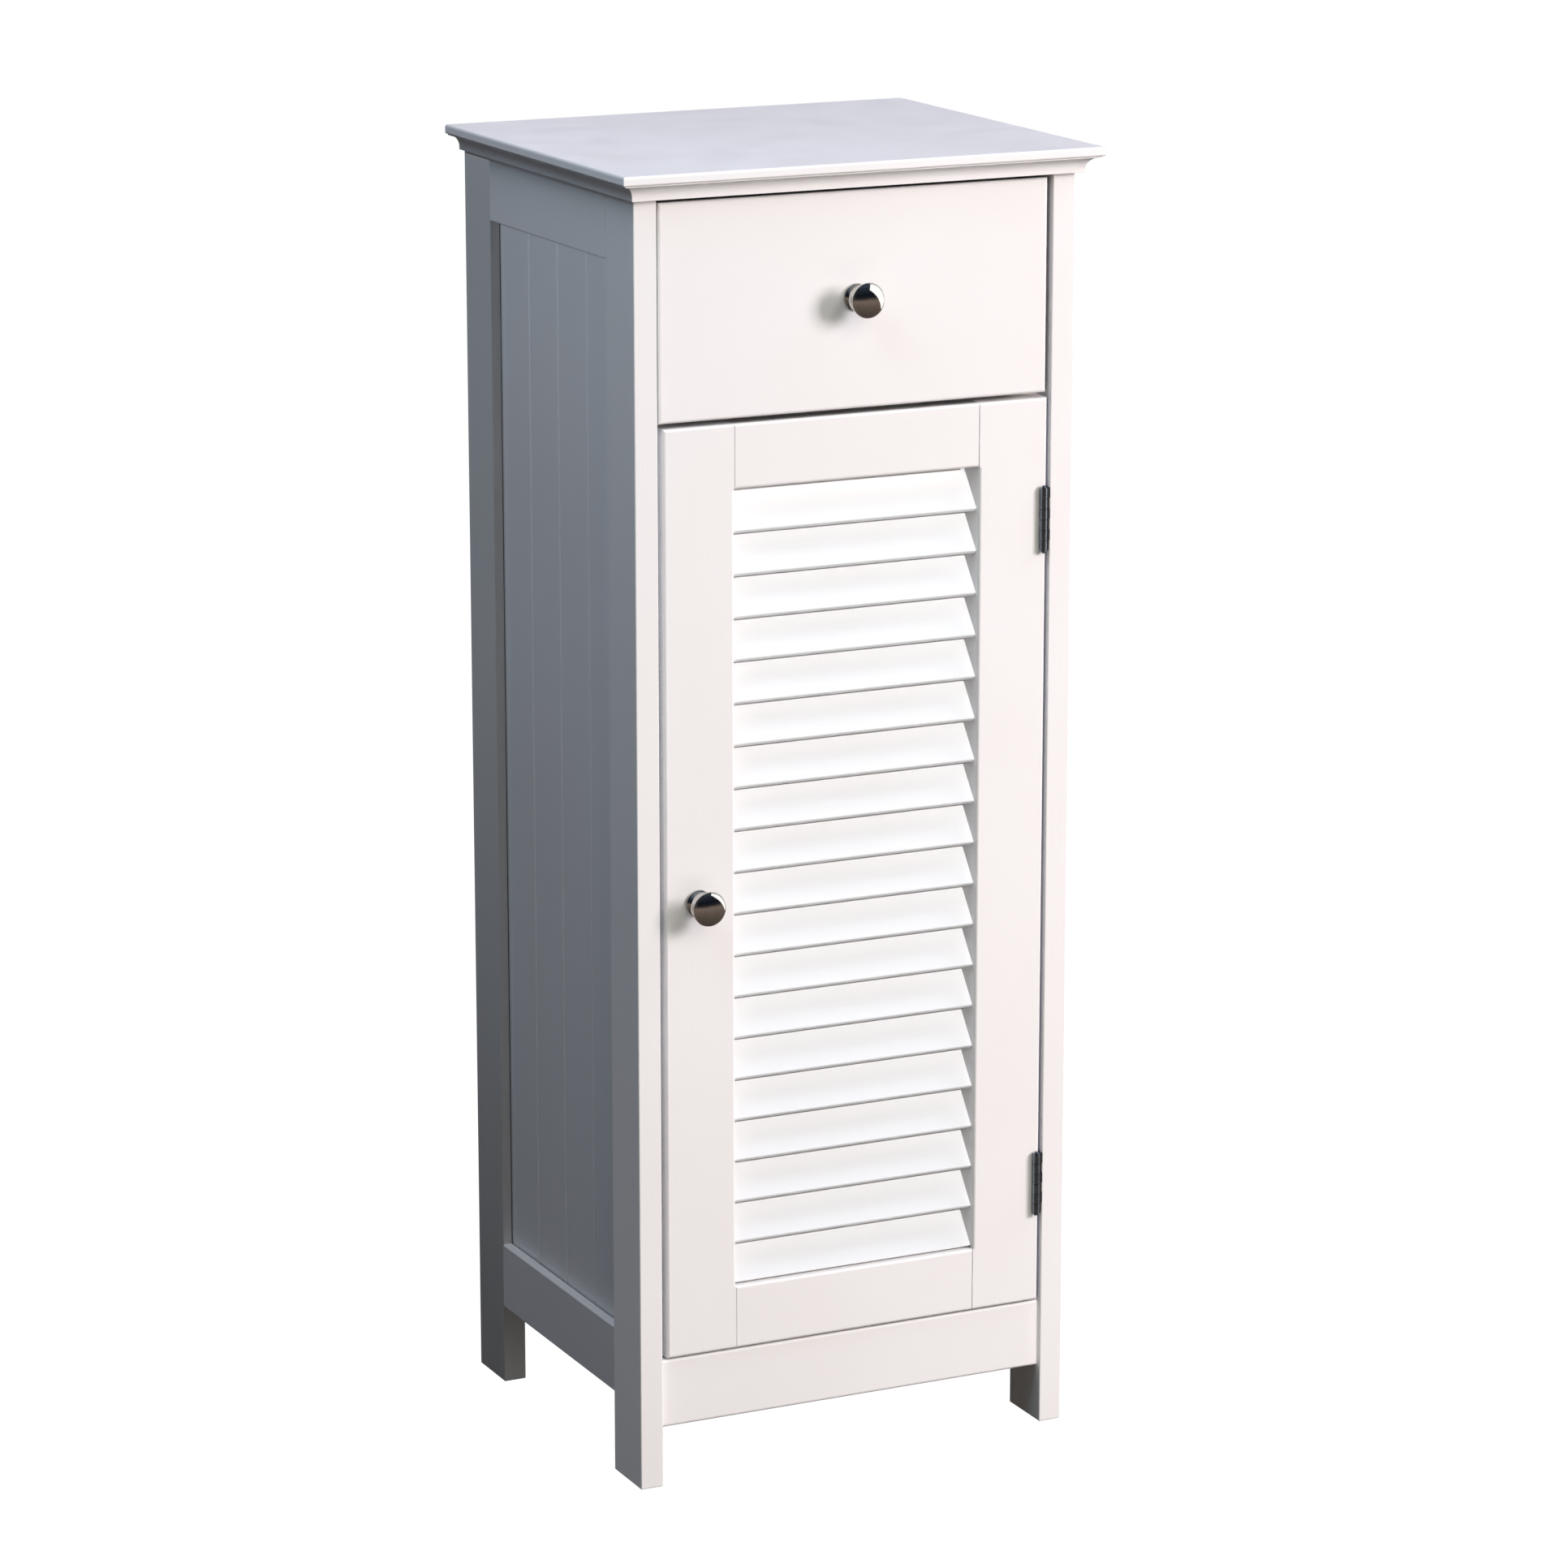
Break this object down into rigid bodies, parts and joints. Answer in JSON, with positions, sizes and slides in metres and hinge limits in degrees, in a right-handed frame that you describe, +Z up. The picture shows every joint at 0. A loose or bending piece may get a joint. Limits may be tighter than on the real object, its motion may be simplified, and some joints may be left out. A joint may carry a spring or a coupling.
{
  "type": "cabinet",
  "caption": "Narrow white wooden cabinet with a louvred door on butt hinges below a small drawer, frame-and-panel sides and a moulded top.",
  "frame": {"origin": "on the floor, under the middle of the top board's 340 x 290 mm outline", "axes": "+X to the right as seen from the front, +Y to the back (door and drawer face -Y), +Z up"},
  "size_m": [0.34, 0.2927, 0.87],
  "materials": {
    "white_paint": "white satin paint on wood",
    "bare_wood": "sanded bare pine",
    "white_faced_hardboard": "white-faced hardboard",
    "polished_nickel": "mirror-polished plating",
    "dark_nickel": "dark nickel plating",
    "zinc_steel": "zinc plating",
    "white_plastic": "moulded matt"
  },
  "bodies": {
    "carcass": {"top_board": "white_paint", "leg_front_left": "white_paint", "leg_front_right": "white_paint", "leg_back_left": "white_paint", "leg_back_right": "white_paint", "side_top_rail_left": "white_paint", "side_top_rail_right": "white_paint", "side_bottom_rail_left": "white_paint", "side_bottom_rail_right": "white_paint", "side_panel_left": "white_paint", "side_panel_right": "white_paint", "bottom_panel": "white_paint", "divider_panel": "white_paint", "top_stretchers": "white_paint", "back_panel": "white_faced_hardboard", "front_apron": "white_paint", "adjustable_shelf": "white_paint", "shelf_pins": "zinc_steel", "drawer_runner_left": "bare_wood", "drawer_runner_right": "bare_wood", "hinge_frame_leaves": "dark_nickel", "hinge_pins": "dark_nickel", "magnetic_catch": "white_plastic", "frame_dowels": "bare_wood", "frame_wood_screws": "zinc_steel"},
    "door": {"door_stile_knob_side": "white_paint", "door_stile_hinge_side": "white_paint", "door_rail_top": "white_paint", "door_rail_bottom": "white_paint", "louvre_slat_01": "white_paint", "louvre_slat_02": "white_paint", "louvre_slat_03": "white_paint", "louvre_slat_04": "white_paint", "louvre_slat_05": "white_paint", "louvre_slat_06": "white_paint", "louvre_slat_07": "white_paint", "louvre_slat_08": "white_paint", "louvre_slat_09": "white_paint", "louvre_slat_10": "white_paint", "louvre_slat_11": "white_paint", "louvre_slat_12": "white_paint", "louvre_slat_13": "white_paint", "louvre_slat_14": "white_paint", "louvre_slat_15": "white_paint", "louvre_slat_16": "white_paint", "louvre_slat_17": "white_paint", "louvre_slat_18": "white_paint", "louvre_slat_19": "white_paint", "hinge_door_leaves": "dark_nickel", "door_knob": "polished_nickel", "door_knob_screw": "zinc_steel", "strike_plate": "zinc_steel", "door_wood_screws": "zinc_steel"},
    "drawer": {"drawer_front": "white_paint", "drawer_side_left": "bare_wood", "drawer_side_right": "bare_wood", "drawer_back": "bare_wood", "drawer_bottom": "white_faced_hardboard", "drawer_knob": "polished_nickel", "drawer_knob_screw": "zinc_steel"}
  },
  "joints": [
    {"name": "door_hinge", "type": "hinge", "parent": "carcass", "child": "door", "pos_m": [0.1357, -0.12915, 0.395], "axis": [0, 0, 1], "range_deg": [0, 170]},
    {"name": "drawer_slide", "type": "slide", "parent": "carcass", "child": "drawer", "axis": [0, -1, 0], "range_m": [0, 0.18]}
  ]
}
